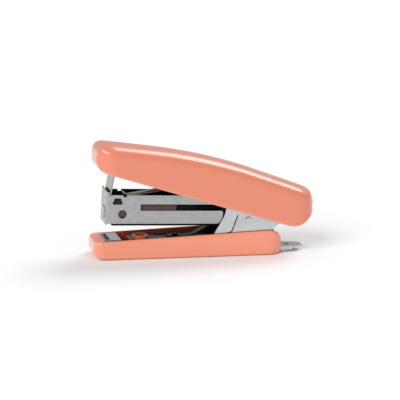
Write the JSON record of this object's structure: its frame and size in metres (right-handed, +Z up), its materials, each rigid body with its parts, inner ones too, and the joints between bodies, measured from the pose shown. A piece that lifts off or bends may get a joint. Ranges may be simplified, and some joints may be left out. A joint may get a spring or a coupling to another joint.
{
  "type": "stapler",
  "caption": "Compact hand stapler with a moulded handle cover and base over a pressed steel magazine, staple strip, pusher, driver blade and rear staple-remover tongue.",
  "frame": {"origin": "on the surface it stands on, under the middle of its length and width", "axes": "+X from the staple exit towards the pivot and the heel, +Y across, +Z up"},
  "size_m": [0.0821, 0.0174, 0.0412],
  "materials": {
    "coral_plastic": "gloss injection-moulded shell",
    "nickel_steel": "bright nickel-plated pressed sheet",
    "dark_steel": "dark oiled spring steel",
    "staple_steel": "glued galvanised wire",
    "black_nylon": "moulded black nylon"
  },
  "bodies": {
    "base": {"base_cover": "coral_plastic", "base_frame": "nickel_steel", "anvil_plate": "nickel_steel", "return_spring": "dark_steel", "return_spring_rivet": "nickel_steel", "pivot_pin": "nickel_steel", "stop_pin": "nickel_steel"},
    "magazine": {"magazine_channel": "nickel_steel", "magazine_floor": "dark_steel", "staple_core": "dark_steel", "staple_strip": "staple_steel", "pusher_rod": "nickel_steel", "pusher_spring": "dark_steel", "pivot_bush": "nickel_steel"},
    "pusher": {"pusher": "black_nylon"},
    "handle": {"handle_cover": "coral_plastic", "handle_arm": "nickel_steel", "driver_blade": "nickel_steel", "blade_rivet_left": "nickel_steel", "blade_rivet_right": "nickel_steel", "handle_spring": "dark_steel", "handle_spring_rivet": "nickel_steel"}
  },
  "joints": [
    {"name": "magazine_hinge", "type": "hinge", "parent": "base", "child": "magazine", "pos_m": [0.01995, 0, 0.0173], "axis": [0, 1, 0], "range_deg": [-5, 0], "stiffness_Nm_per_rad": 0.6, "springref_deg": 11.46, "deforming": ["return_spring"]},
    {"name": "handle_hinge", "type": "hinge", "parent": "magazine", "child": "handle", "pos_m": [0.01995, 0, 0.0173], "axis": [0, 1, 0], "range_deg": [-8, 41], "stiffness_Nm_per_rad": 0.8, "springref_deg": 0.34, "deforming": ["handle_spring"]},
    {"name": "pusher_slide", "type": "slide", "parent": "magazine", "child": "pusher", "axis": [0.9997, 0, -0.0262], "range_m": [0, 0.0085], "stiffness_N_per_m": 60, "springref_m": -0.03, "deforming": ["pusher_spring"]}
  ]
}
